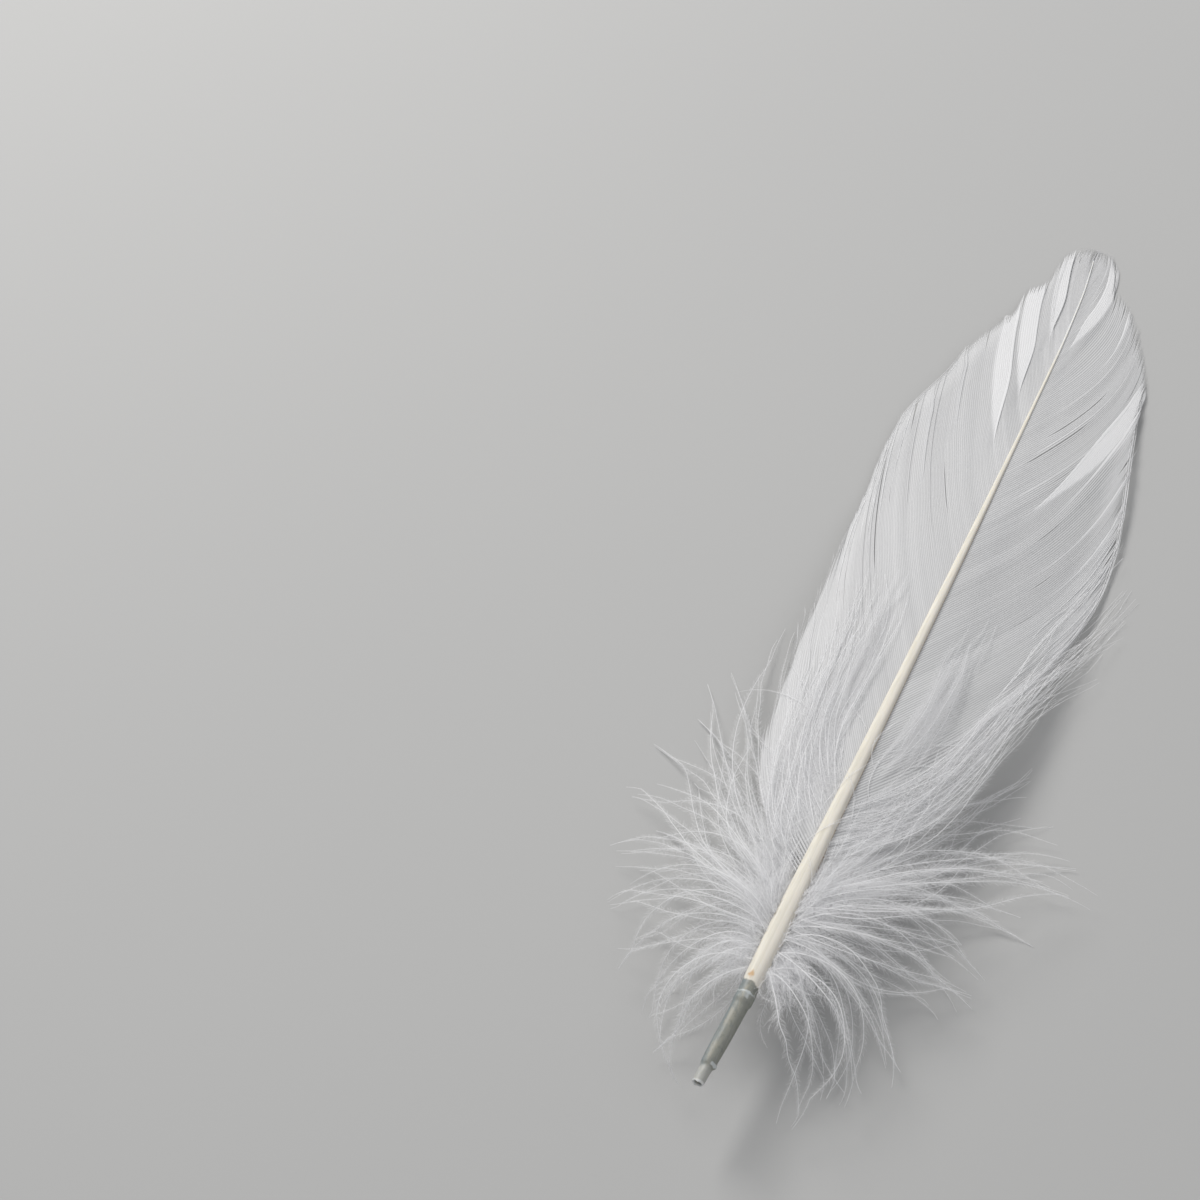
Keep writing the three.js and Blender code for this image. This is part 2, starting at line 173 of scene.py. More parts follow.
# short barbs that fluff up round the foot of the shaft, and those that curl back along the barrel
FLUFF = {"count": {"left": 115, "right": 125}, "curls": {"left": 38, "right": 56}}
# how the loose barbs are dressed: how thick they are and over what share from the root they thicken; then
# their barbules' length and spacing, the share from the root that has none and the one at which they are
# full-grown, how far they fan out of the flat, where they die out and how thin they look
DRESS = {"born": 0, "bare": 0, "grown": 0.16, "bald": (1, 1.2), "thin": 1}
HAIRS = {
    "down": {**DRESS, "thick": 0.15, "barbule": 1.8, "spacing": 0.23, "bare": 0.03, "fan": 0.9},
    "fluff": {**DRESS, "thick": 0.08, "barbule": 1.6, "spacing": 0.27, "fan": 1.4},
    "plume": {**DRESS, "thick": 0.125, "born": 0.12, "barbule": 1.55, "spacing": 0.3, "grown": 0.14,
              "fan": 0.6, "bald": (0.6, 0.84), "thin": 1.8},
    "veil": {**DRESS, "thick": 0.05, "born": 0.3, "barbule": 2.2, "spacing": 0.13, "grown": 0.4,
             "fan": 0.12, "thin": 2.2},
    "wisp": {**DRESS, "thick": 0.06, "born": 0.3, "barbule": 0.5, "spacing": 0.16, "grown": 0.5,
             "fan": 0.6},
    "edge": {"thick": 0.11, "born": 0.3},
}
BARBULE_HALF = (0.024, 0.019, 0.006)  # half its width at its foot, its middle and its tip
SOFT_STEPS = 26
LOWEST = 0.03  # nothing reaches nearer the table than this
HIGHEST = {"from": 10.4, "to": 12.75}  # the fluff is pressed softly under this height

# ---- colours
HORN = {
    # the bluish grey stays on the barrel's left side as a painted reflection
    "grey": (0.17, 0.195, 0.20), "olive": (0.225, 0.23, 0.205), "pith": (0.33, 0.31, 0.255),
    "fleck": (0.15, 0.16, 0.15), "scuff": (0.36, 0.36, 0.34), "trimmed": (0.39, 0.39, 0.37),
    "rim": (0.66, 0.67, 0.67), "sheath": (0.55, 0.58, 0.59), "cream": (0.585, 0.555, 0.485),
    "pale": (0.68, 0.65, 0.58), "tip": (0.64, 0.64, 0.63), "shoulder": (0.69, 0.65, 0.61),
    # the first brown here is a painted shadow line along the rachis's right edge; the second is a stain
    "shadow_line": (0.34, 0.22, 0.12), "stain": (0.46, 0.25, 0.08),
}
# the grey between the barbs' middles is painted shade
BARBS = {"middle": (0.68, 0.68, 0.69), "between": (0.54, 0.546, 0.562), "cloud": (0.62, 0.62, 0.625),
         "double": (0.645, 0.645, 0.655)}
DOWN = {"light": (0.85, 0.85, 0.86), "shade": (0.77, 0.77, 0.782), "through": (0.86, 0.86, 0.868)}
FLOOR = {"first": (0.365, 0.365, 0.365), "second": (0.385, 0.385, 0.382)}

# where the camera looks, in millimetres, from how far off and at what angles, and its lens
CAMERA = {"target": (-55.85, -10.56, 0), "distance": 524.1, "azimuth": -28.2, "elevation": 55.0,
          "roll": 5.33, "lens": 96.84, "sensor": 36}


# ---- small helpers
def along(pairs, s):
    """Values of [place, value] pairs at the places s, on a smooth curve that never overshoots."""
    x, y = np.array(pairs, float).T
    slope = np.diff(y) / np.diff(x)
    a, b = slope[:-1], slope[1:]
    turning = a * b <= 0
    inner = np.where(turning, 0, 2 * a * b / np.where(turning, 1, a + b))
    tangent = np.concatenate([slope[:1], inner, slope[-1:]])
    s = np.clip(np.asarray(s, float), x[0], x[-1])
    i = np.clip(np.searchsorted(x, s, side="right") - 1, 0, len(x) - 2)
    h = x[i + 1] - x[i]
    t = (s - x[i]) / h
    curve = y[i] * (1 + 2 * t) * (1 - t) ** 2 + y[i + 1] * t * t * (3 - 2 * t)
    return curve + h * t * (1 - t) * (tangent[i] * (1 - t) - tangent[i + 1] * t)


def ease(low, high, x):
    """0 up to low, 1 from high on and smooth between. low may be the greater of the two."""
    t = np.clip((x - low) / (high - low), 0, 1)
    return t * t * (3 - 2 * t)


def mix(a, b, t):
    return a + (b - a) * t


def unit(v):
    return v / np.maximum(np.linalg.norm(v, axis=-1, keepdims=True), 1e-9)


def shaft_half(s):
    return along(SHAFT_WIDTH, s) / 2


def shaft_middle(s):
    return along(SHAFT_BOW, s)


def shaft_height(s):
    return along(SHAFT_HEIGHT, s)


def side_of_shaft(side, s):
    """The place across at which barbs leave a side of the shaft, just inside its skin."""
    return shaft_middle(s) + SIDES[side] * shaft_half(s) * 0.86


def wander(rng, count, t, waves, size):
    """For each of count threads, a smooth random wandering along t that is 0 at its root."""
    out = np.zeros((count, len(t)))
    for k in range(1, 4):
        turns = waves * k * rng.uniform(0.7, 1.3, (count, 1))
        phase = rng.uniform(0, 2 * np.pi, (count, 1))
        out += (np.sin(2 * np.pi * turns * t + phase) - np.sin(phase)) * rng.normal(0, 1, (count, 1)) / k
    return out * size * t


# the frame's place of the drawn origin, from the shaft's solid
shaft_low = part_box("shaft")[0]
SHAFT_PLACES = np.array(SHAFT_WIDTH)[:, 0]
LEFTMOST = (shaft_middle(SHAFT_PLACES) - shaft_half(SHAFT_PLACES)).min()
ORIGIN = np.array([shaft_low.x / MM - LEFTMOST, shaft_low.y / MM, 0])


def into_frame(places):
    """Places in millimetres of the drawn feather as metres of the frame."""
    return (places + ORIGIN) * MM


# ---- shader helpers
class Value:
    """An output of a node tree, on which Python's operators add Math nodes where it is a number."""

    def __init__(self, tree, socket):
        self.tree, self.socket = tree, socket

    def math(self, operation, *others):
        return node(self.tree, "Math", dict(enumerate((self, *others))), {"operation": operation})

    def __add__(self, other):
        return self.math("ADD", other)

    def __sub__(self, other):
        return self.math("SUBTRACT", other)

    def __rsub__(self, other):
        return self.math("MULTIPLY_ADD", -1, other)

    def __mul__(self, other):
        return self.math("MULTIPLY", other)

    def __truediv__(self, other):
        return self.math("DIVIDE", other)

    def __abs__(self):
        return self.math("ABSOLUTE")

    __radd__, __rmul__ = __add__, __mul__

    def rise(self, low, high):
        """0 below low, 1 above high."""
        return node(self.tree, "MapRange", {"Value": self, "From Min": low, "From Max": high},
                    {"interpolation_type": "SMOOTHSTEP"})


def node(tree, kind, sockets=None, settings=None, output=0):
    """Adds a shader node with the values or links of its sockets. Returns one of its outputs."""
    made = tree.nodes.new("ShaderNode" + kind)
    for key, value in (settings or {}).items():
        setattr(made, key, value)
    for key, value in (sockets or {}).items():
        if isinstance(value, Value):
            tree.links.new(value.socket, made.inputs[key])
        elif isinstance(value, tuple) and made.inputs[key].type == "RGBA":
            made.inputs[key].default_value = (*value, 1)
        else:
            made.inputs[key].default_value = value
    return Value(tree, made.outputs[output]) if made.outputs else None


def blend(factor, first, second):
    """A colour between two."""
    return node(factor.tree, "Mix", {0: factor, 6: first, 7: second}, {"data_type": "RGBA"}, output=2)


def speckle(coords, scale, detail=3.0):
    return node(coords.tree, "TexNoise",
                {"Vector": coords, "Scale": scale, "Detail": detail, "Roughness": 0.55})


def stretched(coords, scale):
    return node(coords.tree, "Mapping", {"Vector": coords, "Scale": scale})


def object_coords(tree):
    return node(tree, "TexCoord", output=3)


def second_of(vector):
    """The second of a vector's three numbers."""
    return node(vector.tree, "SeparateXYZ", {0: vector}, output=1)


def attribute(tree, name):
    return node(tree, "Attribute", None, {"attribute_name": name}, output=2)


def painted(colours, base, layers):
    """One of the colours with others laid over it, each through its mask."""
    colour = colours[base]
    for name, mask in layers.items():
        colour = blend(mask, colour, colours[name])
    return colour


def material(name, finish, *settings):
    """A material whose surface is the shader that finish makes in its tree."""
    made = bpy.data.materials.new(name)
    made.use_nodes = True
    tree = made.node_tree
    tree.nodes.clear()
    node(tree, "OutputMaterial", {"Surface": finish(tree, *settings)})
    return made


# ---- meshes
def grid_mesh(grids):
    """One mesh of flat grids, whose points are moved into place afterwards. A grid is its rows of points,
    its columns and how many of those a strip has: the faces between two strips are left out."""
    bm = bmesh.new()
    between = []
    for rows, columns, wide in grids:
        first, faces = len(bm.faces), columns - 1
        bmesh.ops.create_grid(bm, x_segments=faces, y_segments=rows - 1, size=1)
        between += [first + i for i in range((rows - 1) * faces) if i % faces % wide == wide - 1]
    bm.faces.ensure_lookup_table()
    bmesh.ops.delete(bm, geom=[bm.faces[i] for i in between], context="FACES")
    return bm


def mesh_of(name, bm):
    mesh = bpy.data.meshes.new(name)
    bm.to_mesh(mesh)
    bm.free()
    return mesh


def placed(name, data):
    """Puts a mesh, a lamp or a camera into the scene."""
    piece = bpy.data.objects.new(name, data)
    bpy.context.scene.collection.objects.link(piece)
    return piece


def piece_of(mesh, finish):
    """The smooth piece of a finished mesh, which rides with the feather."""
    mesh.polygons.foreach_set("use_smooth", np.ones(len(mesh.polygons), bool))
    mesh.update()
    mesh.materials.append(finish)
    piece = placed(mesh.name, mesh)
    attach(piece, "root")
    return piece


def pressed(z):
    """Heights pressed softly under the highest, and none nearer the table than the lowest."""
    room = HIGHEST["to"] - HIGHEST["from"]
    over = np.maximum(z - HIGHEST["from"], 0)
    return np.maximum(np.where(over > 0, HIGHEST["from"] + room * (1 - np.exp(-over / room)), z), LOWEST)


def strip_uv(run, across):
    """Millimetres along each strip, [step, strip], and the shares of the way across it."""
    return np.stack(np.broadcast_arrays(run[..., None], np.array(across, float)), -1)


def strips(name, groups, finish):
    """A piece made of many thin strips. A group's places are [step, strip, point across, xyz], and so is
    its uv; its tone, free, double and soft, where it has them, are kept for the finish."""
    sizes = [group["places"].shape[:3] for group in groups]
    mesh = mesh_of(name, grid_mesh([(steps, count * wide, wide) for steps, count, wide in sizes]))
    places = np.concatenate([group["places"].reshape(-1, 3) for group in groups])
    places[:, 2] = pressed(places[:, 2])
    mesh.vertices.foreach_set("co", into_frame(places).astype(np.float32).ravel())
    uv = np.concatenate([group["uv"].reshape(-1, 2) for group in groups])
    corner = np.zeros(len(mesh.loops), np.int32)
    mesh.loops.foreach_get("vertex_index", corner)
    layer = mesh.uv_layers.new(name="barb")
    layer.data.foreach_set("uv", uv[corner].astype(np.float32).ravel())
    for key in ("tone", "free", "double", "soft"):
        values = [np.broadcast_to(group.get(key, 0), size).ravel() for group, size in zip(groups, sizes)]
        kept = mesh.attributes.new(key, "FLOAT", "POINT")
        kept.data.foreach_set("value", np.concatenate(values).astype(np.float32))
    return piece_of(mesh, finish)


# ---- the shaft
def skin_lumps(turn, s):
    """How high the dried skin stands on the barrel."""
    rng = np.random.default_rng(SEEDS["lumps"])
    small = [(rng.uniform(*LUMPS["place"]), rng.uniform(0, 2 * np.pi), rng.uniform(*LUMPS["width"]),
              rng.normal(0, LUMPS["height"])) for _ in range(LUMPS["count"])]
    height = np.zeros((len(s), len(turn)))
    for place, way, width, tall in small + FLAPS:
        aside = np.angle(np.exp(1j * (turn - way))) * QUILL["radius"]
        height += tall * np.exp(-((s - place) / width) ** 2 - (aside / width) ** 2)
    return height


def shaft_profile():
    """Places along the shaft and its radius there: from the bottom of the bore out to the cut end, and
    then up the outside to the tip. Also says which of them are in the bore."""
    depth = QUILL["depth"]
    bore = [(0, depth), (0.6, depth), (1, depth - 0.4), (1, 6), (1, 3), (1, 1), (1, 0.25), (1.08, 0.03)]
    outside = np.concatenate([[0.1], np.arange(0.35, 24, 0.28), np.arange(24, 60, 0.7),
                              np.arange(60, SHAFT_END, 1.1), [SHAFT_END - 0.2]])
    radius = np.concatenate([[share * QUILL["bore"] for share, _ in bore], [0.8],
                             shaft_half(outside) * np.where(outside < 0.3, 0.97, 1), [0.001]])
    s = np.concatenate([[place for _, place in bore], [0], outside, [SHAFT_END]])
    return s[:, None], radius[:, None], np.arange(len(s))[:, None] < len(bore)


def shaft_places(turn):
    """Points of the shaft's skin, [place, turn, xyz]: round the barrel, squarer and grooved underneath
    along the rachis."""
    s, radius, inside = shaft_profile()
    aside, above = np.cos(turn), -np.sin(turn)
    rachis = ease(RACHIS_START - 4, RACHIS_START + 8, s)
    n = mix(SQUARENESS["quill"], SQUARENESS["rachis"], rachis)
    out = radius / (np.abs(aside) ** n + np.abs(above) ** n) ** (1 / n)
    out = out + np.where(inside, 0.3, 1) * skin_lumps(turn, s) * ease(21, 17, s) * (radius > 0.01)
    torn = 0.09 * np.sin(3 * turn + 1) + 0.07 * np.sin(7 * turn) + 0.05 * np.sin(13 * turn + 2)
    ring = ease(*SHEATH["low"], s + 4 * torn) * (1 - ease(*SHEATH["high"], s - 3 * torn))
    out = out + ring * (0.03 + 0.4 * torn)
    hollow = rachis * GROOVE["depth"] * np.exp(-(aside / GROOVE["half_width"]) ** 2)
    uneven = 0.07 * np.sin(2 * turn + 0.7) + 0.05 * np.sin(5 * turn)
    x = shaft_middle(s) + aside * out
    y = s + np.where(s < 0.5, uneven, 0) * (radius > 0.3)
    z = shaft_height(s) + above * out * np.where(above < 0, 1 - hollow, 1)
    return np.stack([x, y, z], -1)


def shaft_piece(finish):
    turn = np.linspace(0, 2 * np.pi, SHAFT_SIDES + 1)
    places = shaft_places(turn)
    bm = grid_mesh([(*places.shape[:2], places.shape[1])])
    aside, above = (bm.verts.layers.float.new(name) for name in ("aside", "above"))
    ways = np.tile(np.stack([np.cos(turn), -np.sin(turn)], -1), (len(places), 1))
    for vert, place, way in zip(bm.verts, into_frame(places.reshape(-1, 3)), ways):
        vert.co = place
        vert[aside], vert[above] = way
    bmesh.ops.remove_doubles(bm, verts=bm.verts, dist=2e-6)
    bmesh.ops.recalc_face_normals(bm, faces=bm.faces)
    piece = piece_of(mesh_of("horn_shaft", bm), finish)
    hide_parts("shaft")


# ---- the vanes
def vane_top(side, x, s):
    """Height of a vane: from the shaft's shoulder down to its edge, never under the table."""
    out = np.abs(x - shaft_middle(s))
    shoulder = shaft_height(s) + 0.3 * shaft_half(s)
    droop = DROOP[side] * (out / DROOP["reach"]) ** DROOP["power"] * np.minimum(1, shoulder / 5)
    wave = WAVE["height"] * (out / DROOP["reach"]) * np.sin(2 * np.pi * s / WAVE["length"] + SIDES[side])
    return np.maximum(shoulder - droop + wave, VANE_THICKNESS)


def loose_heading(first, low, last, t):
    """Angle to the shaft of a loose barb along its length t: first, then low, then last."""
    return np.radians(first + (low - first) * ease(0, 0.54, t) + (last - low) * ease(0.66, 0.95, t))


def barb_heading(side, roots, steps):
    """Angle to the shaft of the barbs from roots at each of their steps. The last close round its end."""
    t = np.linspace(0, 1, steps + 1)
    closing = 1 - 0.92 * ease(SHAFT_END - 5, SHAFT_END, roots)
    first = (np.radians(along(ROOT_ANGLE[side], roots)) * closing)[:, None]
    last = (np.radians(along(TIP_ANGLE[side], roots)) * closing)[:, None]
    angles = (along(PLUME[side][key], roots)[:, None] for key in ("first", "low", "last"))
    loose = loose_heading(*angles, t * 0.72)
    return mix(first + (last - first) * t ** BARB_BEND[side], loose,
               ease(LOOSE_FOOT[side][1], LOOSE_FOOT[side][0], roots)[:, None])


def barb_lines(side, roots, steps, slip=0):
    """Places of the barbs that leave the shaft at roots, [barb, step, xy], the way across them towards
    the feather's tip, and their lengths. Each ends at the vane's edge. slip, [barb, step], is how far it
    has slid across that way."""
    heading = barb_heading(side, roots, steps)
    ahead = np.stack([SIDES[side] * np.sin(heading), np.cos(heading)], -1)
    forward = np.stack([-SIDES[side] * np.cos(heading), np.sin(heading)], -1)
    run = np.cumsum((ahead[:, 1:] + ahead[:, :-1]) / 2, axis=1) / steps
    run = np.concatenate([np.zeros_like(run[:, :1]), run], axis=1)
    start = np.stack([side_of_shaft(side, roots), roots], -1)[:, None]
    start = start + forward * np.broadcast_to(slip, heading.shape)[..., None]
    short, long = np.full(len(roots), 0.5), np.full(len(roots), 90.0)
    for _ in range(24):
        length = (short + long) / 2
        x, y = (start[:, -1] + length[:, None] * run[:, -1]).T
        past = (y > LENGTH) | (SIDES[side] * x > along(VANE_EDGE[side], y))
        long, short = np.where(past, length, long), np.where(past, short, length)
    return start + short[:, None, None] * run, forward, short


def small_partings(side, rng):
    """Slight slips and openings between locks of barbs, all along a vane, that close again."""
    found = []
    root = VANE_START[side] + 3
    while root < VANE_END - 2:
        start = rng.uniform(0.05, 0.85)
        most = rng.normal(0, 0.12)
        end = start + rng.uniform(0.08, 0.4)
        width = rng.uniform(1.5, 5)
        if not any(-1 < front - root < wide and slid > 1 for front, slid, _, wide, *_ in PARTINGS[side]):
            found.append((root, most, start, width, end))
        root += rng.uniform(2.2, 7.5)
    return found


def part(side, rng, roots, t):
    """What a vane's partings do to its barbs, [barb, step]: how far they have slipped over the ones in
    front, opened away from them and risen, and where they lie double. Then, for each two neighbours,
    whether a parting runs between them and how far it has moved the hinder one."""
    place, forward, _ = barb_lines(side, roots, BARB_STEPS)
    slip, opened, lift, double = (np.zeros((len(roots), len(t))) for _ in range(4))
    parted, jump = np.zeros(len(roots) - 1, bool), np.zeros((len(roots) - 1, len(t)))
    for root, most, start, width, *rest in PARTINGS[side] + small_partings(side, rng):
        behind = root - roots
        share = np.where(behind >= 0, np.clip(1 - behind / width, 0, 1), 0)[:, None]
        if len(rest) == 1:
            reached = ease(start, start + 0.08, t) * ease(rest[0], rest[0] - 0.08, t)
        else:
            whole, left = rest or (1, 1)
            reached = ease(start, whole, t) ** 0.8 * mix(1, left, ease(whole, 1.05, t))
        slid = most * share * reached
        if most > 0:
            slip += slid
            lift += SLIP_LIFT * share * ease(start, start + 0.2, t)
        else:
            opened += slid
        if most > DOUBLE_FROM:
            # where it has slid past the barb that was in front of it, there are two layers
            front = place[min(np.searchsorted(roots, root), len(roots) - 1)]
            past = slid - ((front - place) * forward).sum(-1)
            double = np.maximum(double, ease(-0.1, 0.3, past) * (share > 0))
        here = behind[:-1] * behind[1:] <= 0
        parted |= here
        jump[here] += slid[:-1][here]
    return slip, opened, lift, double, parted, jump


def vane_piece(side, finish):
    rng = np.random.default_rng(SEEDS["vane"][side])
    roots = np.concatenate([np.arange(VANE_START[side], SHAFT_END - 4, BARB_SPACING),
                            np.arange(SHAFT_END - 3.9, SHAFT_END, BARB_SPACING / 2)])
    count = len(roots)
    t = np.linspace(0, 1, BARB_STEPS + 1)
    slip, opened, lift, double, parted, jump = part(side, rng, roots, t)
    place, forward, length = barb_lines(side, roots, BARB_STEPS, slip)
    place = place + forward * opened[..., None]
    # neighbours meet halfway, as far as they haven't slipped past or away from each other
    half = (place[1:] - place[:-1] + forward[:-1] * jump[..., None]) / 2
    after = np.concatenate([place[:-1] + half, (place[-1] + half[-1])[None]])
    before = np.concatenate([(place[0] - half[0])[None], place[1:] - half])

    # each lock of barbs between two partings is a little denser or thinner than the next
    lock = np.concatenate([[0], np.cumsum(parted)])
    tone = 0.6 * rng.uniform(0, 1, lock[-1] + 1)[lock] + 0.4 * rng.uniform(0, 1, count)

    # the ends are unhooked, and so are the outer parts of the lowest barbs, and their feet
    fringe = along(FRINGE[side], roots)[:, None] * rng.uniform(0.55, 1.3, (count, 1))
    hooked = np.clip((1 - t) * length[:, None] / fringe, 0, 1) ** 0.8
    limit = along(HOOKED[side], roots)[:, None] + rng.normal(0, 0.03, (count, 1))
    loose = ease(limit, limit + 0.12, t) * (limit < 0.97)
    feet = BARE_FEET[side]
    low = ease(feet["until"], feet["until"] - 5, roots)[:, None]
    bare = ease(feet["share"], feet["share"] * 0.3, t) * low
    apart = loose * ease(PARALLEL[side][1], PARALLEL[side][0], roots)[:, None]
    hold = mix(0.1, 1, hooked) * mix(1, 0.35, apart) * mix(1, 0.5, bare)
    stray = wander(rng, count, t, 1.6, 0.35) * apart + rng.normal(0, 0.12, (count, 1)) * (1 - hooked)
    least = mix(0.06, 0.2, ease(SHAFT_END - 5, SHAFT_END, roots))[:, None, None]
    lines = []
    # the barb's right edge comes last, for its faces to point up
    for edge in (before, place, after) if side == "left" else (after, place, before):
        reach = edge - place
        far = np.linalg.norm(reach, axis=-1, keepdims=True)
        reach = np.where((far > 1e-6) & (far < least), reach * least / np.maximum(far, 1e-6), reach)
        lines.append(place + reach * hold[..., None] + forward * stray[..., None])
    flat = np.swapaxes(np.stack(lines, 2), 0, 1)
    raised = lift + apart * rng.normal(0, 0.35, count)[:, None]
    z = vane_top(side, flat[..., 0], flat[..., 1]) + raised.T[..., None] - BARB_DEPTH
    z[:, :, 1] += BARB_RIDGE
    piece = strips(f"{side}_vane_barbs", [{
        "places": np.concatenate([flat, z[..., None]], -1),
        "uv": strip_uv((t * length[:, None]).T, (0, 0.5, 1)),
        "tone": tone[None, :, None],
        "free": (1 - hooked * (1 - apart)).T[..., None],
        "soft": loose.T[..., None],
        "double": double.T[..., None],
    }], finish)
    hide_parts(f"{side}_vane")


# ---- loose barbs with barbules
def run_of(line):
    """How far along a line each of its points lies."""
    return np.concatenate([[0], np.cumsum(np.linalg.norm(np.diff(line, axis=0), axis=1))])


def between_points(at, run, values):
    """The values of a line's points at other places along it."""
    return np.stack([np.interp(at, run, column) for column in values.T], 1)


def resample(line, steps=SOFT_STEPS):
    """The same line with its steps evenly long."""
    run = run_of(line)
    return between_points(np.linspace(0, run[-1], steps + 1), run, line)


def threads(lines, tones, hair):
    """A thin ridged strip along each line, [line, step, xyz], tapering to its tip and to its root."""
    t = np.linspace(0, 1, lines.shape[1])[:, None]
    ahead = unit(np.gradient(lines, axis=1))
    right = unit(np.cross(ahead, UP))
    up = np.cross(right, ahead)
    half = hair["thick"] / 2 * (1 - 0.72 * t) * ease(-0.02, hair["born"] + 0.001, t)
    across = [lines - right * half, lines + up * half * 0.8, lines + right * half]
    length = np.linalg.norm(np.diff(lines, axis=1), axis=2).sum(1)
    return {"places": np.swapaxes(np.stack(across, 2), 0, 1), "uv": strip_uv(t * length, (0, 0.5, 1)),
            "tone": tones[None, :, None]}


def barbules(rng, lines, tones, hair):
    """Two rows of fine curved hairs along each line, shorter towards its root and its tip."""
    base, ahead, share, tone = [], [], [], []
    for line, value in zip(lines, tones):
        run = run_of(line)
        first, rest = hair["bare"] * run[-1], (0.985 - hair["bare"]) * run[-1]
        at = first + rest * np.linspace(0, 1, max(3, int(rest / hair["spacing"]))) ** 1.25
        at = np.clip(at + rng.uniform(-0.4, 0.4, len(at)) * hair["spacing"], 0, run[-1])
        base.append(between_points(at, run, line))
        ahead.append(between_points(at, run, np.gradient(line, axis=0)))
        share.append(at / run[-1])
        tone.append(np.full(len(at), value))
    base, ahead, share, tone = (np.concatenate(2 * values) for values in (base, ahead, share, tone))
    ahead = unit(ahead)
    count = len(base)
    sign = np.repeat([1, -1], count // 2)[:, None]
    right = unit(np.cross(ahead, UP))
    up = np.cross(right, ahead)
    roll = rng.normal(0, hair["fan"] * 0.55, (count, 1))
    outward = sign * (np.cos(roll) * right + np.sin(roll) * up)
    size = hair["barbule"] * ease(-0.1, hair["grown"], share) * mix(1, 0.3, share ** 1.3) * (1 - share ** 6)
    size = size * (1 - ease(*hair["bald"], share)) * rng.uniform(0.7, 1.2, count)
    lean = np.radians(rng.normal(58, 8, (count, 1)))
    bend = np.radians(rng.normal(-24, 12, (count, 1)))
    way = [np.cos(a) * ahead + np.sin(a) * outward for a in (lean, lean + bend)]
    long = size[:, None] / 2
    spine = [base, base + way[0] * long, base + (way[0] + way[1]) * long]
    places = np.zeros((3, count, 2, 3))
    for k, (point, half) in enumerate(zip(spine, BARBULE_HALF)):
        flat = unit(np.cross(way[min(k, 1)], UP))
        places[k, :, 0] = point - flat * half
        places[k, :, 1] = point + flat * half
    return {"places": places, "uv": strip_uv(np.outer((0, 0.5, 1), size), (0, 1)),
            "tone": tone[None, :, None], "free": hair["thin"]}


def feathered(rng, lines, tones, hair):
    """Loose barbs along the lines, with their barbules."""
    return [threads(lines, tones, hair), barbules(rng, lines, tones, hair)]


def gathered(rng, centre, barbs, swell, joined):
    """The barbs of a lock: they part from its middle line like the sides of a lens, and most of them
    join again at the share joined of its length and run on together to its tip."""
    t = np.linspace(0, 1, len(centre))
    ahead = unit(np.gradient(centre, axis=0))
    right = unit(np.cross(ahead, UP))
    spread = np.linspace(-1, 1, barbs) if barbs > 1 else np.zeros(1)
    spread = spread + rng.normal(0, 0.2, barbs)
    length = np.linalg.norm(np.diff(centre, axis=0), axis=1).sum()
    side_run = wander(rng, barbs, t, length / 26, 0.4)
    rise_run = wander(rng, barbs, t, length / 30, 0.3)
    lines = []
    for j in range(barbs):
        end = joined * rng.uniform(0.85, 1.1) if rng.uniform() < 0.75 else 1.5
        belly = np.sin(np.pi * np.clip(t / end, 0, 1) ** 0.85) ** 0.9
        aside = spread[j] * swell * belly + side_run[j] * (1 - ease(end * 0.6, end, t) * 0.8)
        line = centre + right * aside[:, None]
        line[:, 2] += rise_run[j] + rng.normal(0, 0.5) * belly
        foot = np.array([0, spread[j] * 0.35, rng.uniform(-0.3, 0.3)])
        line = line + foot * ((1 - t) ** 2)[:, None]
        short = rng.uniform(0.8, 1.0) if j % 2 else 1.0
        lines.append(resample(line[:max(6, int(len(line) * short))]))
    return lines


def bezier(a, b, c, d, t):
    t = t[:, None]
    return a * (1 - t) ** 3 + 3 * b * t * (1 - t) ** 2 + 3 * c * t * t * (1 - t) + d * t ** 3


def down_lock(side, i):
    """Middle line of one lock of down, from the foot of the shaft out to the ragged border."""
    sign = SIDES[side]
    f = i / (LOCKS[side] - 1)
    kind = int(i)
    tier = LOCK_TIERS[kind % 3] if f < LOW_TIERS_FROM else LOCK_TIERS[2 + kind % 2]
    s = mix(DOWN_START + 0.6, DOWN_END[side] - 0.8, f ** 0.8)
    border = np.array(DOWN_REACH[side])
    gather = TUFTS["pull"] * math.sin(2 * math.pi * f * TUFTS[side]) / TUFTS[side]
    place = min(max(f - gather, 0), 1) * (len(border) - 1)
    ragged = LOCKS["ragged"][(kind * 2) % 3]
    steps = np.arange(len(border))
    reach_along, reach_across = (np.interp(place, steps, border[:, k]) for k in (0, 1))
    root = np.array([side_of_shaft(side, s), s, float(shaft_height(s)) + tier["lift"]])
    end = np.array([sign * reach_across * ragged, mix(s, reach_along, ragged), tier["end"] + 0.2])
    straight = np.hypot(*(end - root)[:2])
    chord = math.atan2(sign * (end - root)[0], (end - root)[1])
    angle = math.radians(along(LOCK_ANGLE, f))
    last = chord + (chord - angle) * LOCK_ARC[kind % 3] + 0.35 * ease(0.3, 0.5, f) * ease(0.95, 0.8, f)
    first = root + np.array([sign * math.sin(angle), math.cos(angle), 0]) * straight * 0.42
    first[2] += tier["arch"]
    second = end - np.array([sign * math.sin(last), math.cos(last), 0]) * straight * 0.3
    second[2] = mix(root[2], end[2], 0.75) + tier["arch"] * 0.6
    return bezier(root, first, second, end, np.linspace(0, 1, 40))


def bent(rng, line, size, lean=0):
    """A line bowed to its right by lean and a little more, or less, on its way to its tip."""
    t = np.linspace(0, 1, len(line))
    ahead = unit(line[-1] - line[0])
    right = np.array([ahead[1], -ahead[0], 0])
    bow = rng.normal(lean, size) * t ** 2.4 + rng.normal(0, size * 0.5) * np.sin(1.5 * np.pi * t) * t
    return line + bow[:, None] * right


